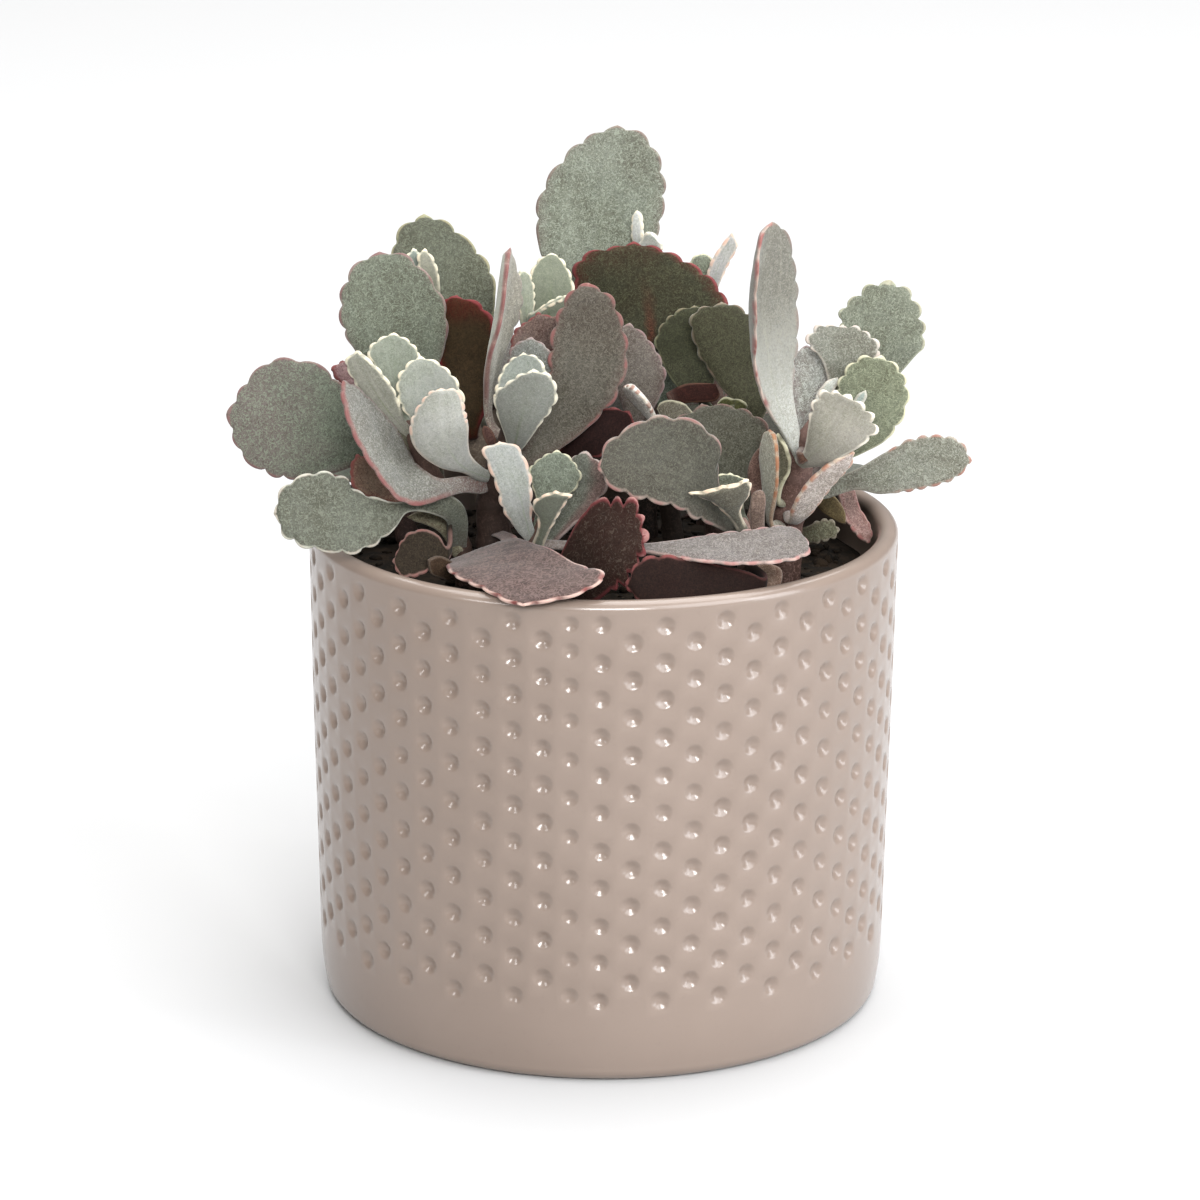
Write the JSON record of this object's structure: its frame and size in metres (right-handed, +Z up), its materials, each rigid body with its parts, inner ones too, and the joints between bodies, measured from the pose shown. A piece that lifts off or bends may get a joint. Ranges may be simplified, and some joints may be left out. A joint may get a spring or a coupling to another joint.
{
  "type": "potted succulent plant",
  "caption": "Potted flower dust plant: a compact clump of thick scalloped leaves with a pale bloom, in a round glazed pot with small pressed dimples",
  "frame": {"origin": "centre of the pot's flat base, on the surface it stands on", "axes": "+Z up along the pot's axis; +X to the right and -Y towards the front, the side the picture shows"},
  "size_m": [0.1478, 0.1278, 0.1744],
  "materials": {
    "pot_glaze": "satin",
    "soil": "matte",
    "stem": "matte",
    "sage_leaf": "matte",
    "young_leaf": "matte",
    "lilac_leaf": "matte",
    "dark_leaf": "matte"
  },
  "bodies": {
    "root": {"pot": "pot_glaze", "soil": "soil", "shoot_center": "stem", "shoot_left": "stem", "shoot_front": "stem", "shoot_right": "stem", "shoot_right_front": "stem", "shoot_back_left": "stem", "shoot_back_center": "stem", "shoot_top": "stem", "shoot_back_right": "stem", "shoot_mid": "stem", "shoot_rear_left": "stem", "shoot_rear_right": "stem", "shoot_side_right": "stem", "shoot_side_left": "stem", "leaf_top_back": "sage_leaf", "leaf_dark_back": "dark_leaf", "leaf_upper_left_back": "sage_leaf", "leaf_round_left": "sage_leaf", "leaf_maroon_left": "dark_leaf", "leaf_edge_left": "lilac_leaf", "leaf_left_large": "sage_leaf", "leaf_left_low": "sage_leaf", "leaf_maroon_fold": "dark_leaf", "leaf_maroon_bit": "dark_leaf", "leaf_side_left": "lilac_leaf", "leaf_left_young_a": "young_leaf", "leaf_left_young_b": "young_leaf", "leaf_left_young_c": "young_leaf", "leaf_left_young_d": "young_leaf", "leaf_centre_a": "lilac_leaf", "leaf_big_right": "lilac_leaf", "leaf_maroon_centre": "dark_leaf", "leaf_lilac_right": "lilac_leaf", "leaf_shadow": "dark_leaf", "leaf_edge_small": "lilac_leaf", "leaf_front_upright": "young_leaf", "leaf_front_small_c": "sage_leaf", "leaf_front_right_round": "sage_leaf", "leaf_grey_right": "lilac_leaf", "leaf_green_edge_a": "sage_leaf", "leaf_tall_right": "lilac_leaf", "leaf_lilac_inner": "lilac_leaf", "leaf_wavy_right": "lilac_leaf", "leaf_green_upper_right": "sage_leaf", "leaf_green_right": "sage_leaf", "leaf_white_right": "young_leaf", "leaf_edge_right": "lilac_leaf", "leaf_right_long": "sage_leaf", "leaf_red_in_pot": "dark_leaf", "leaf_front_flat": "lilac_leaf", "leaf_dark_low": "dark_leaf", "leaf_green_mid": "dark_leaf", "leaf_olive_mid": "dark_leaf", "leaf_pot_left_a": "dark_leaf", "leaf_pot_left_b": "dark_leaf", "leaf_front_bend": "dark_leaf", "leaf_dark_teeth": "dark_leaf"}
  },
  "joints": []
}
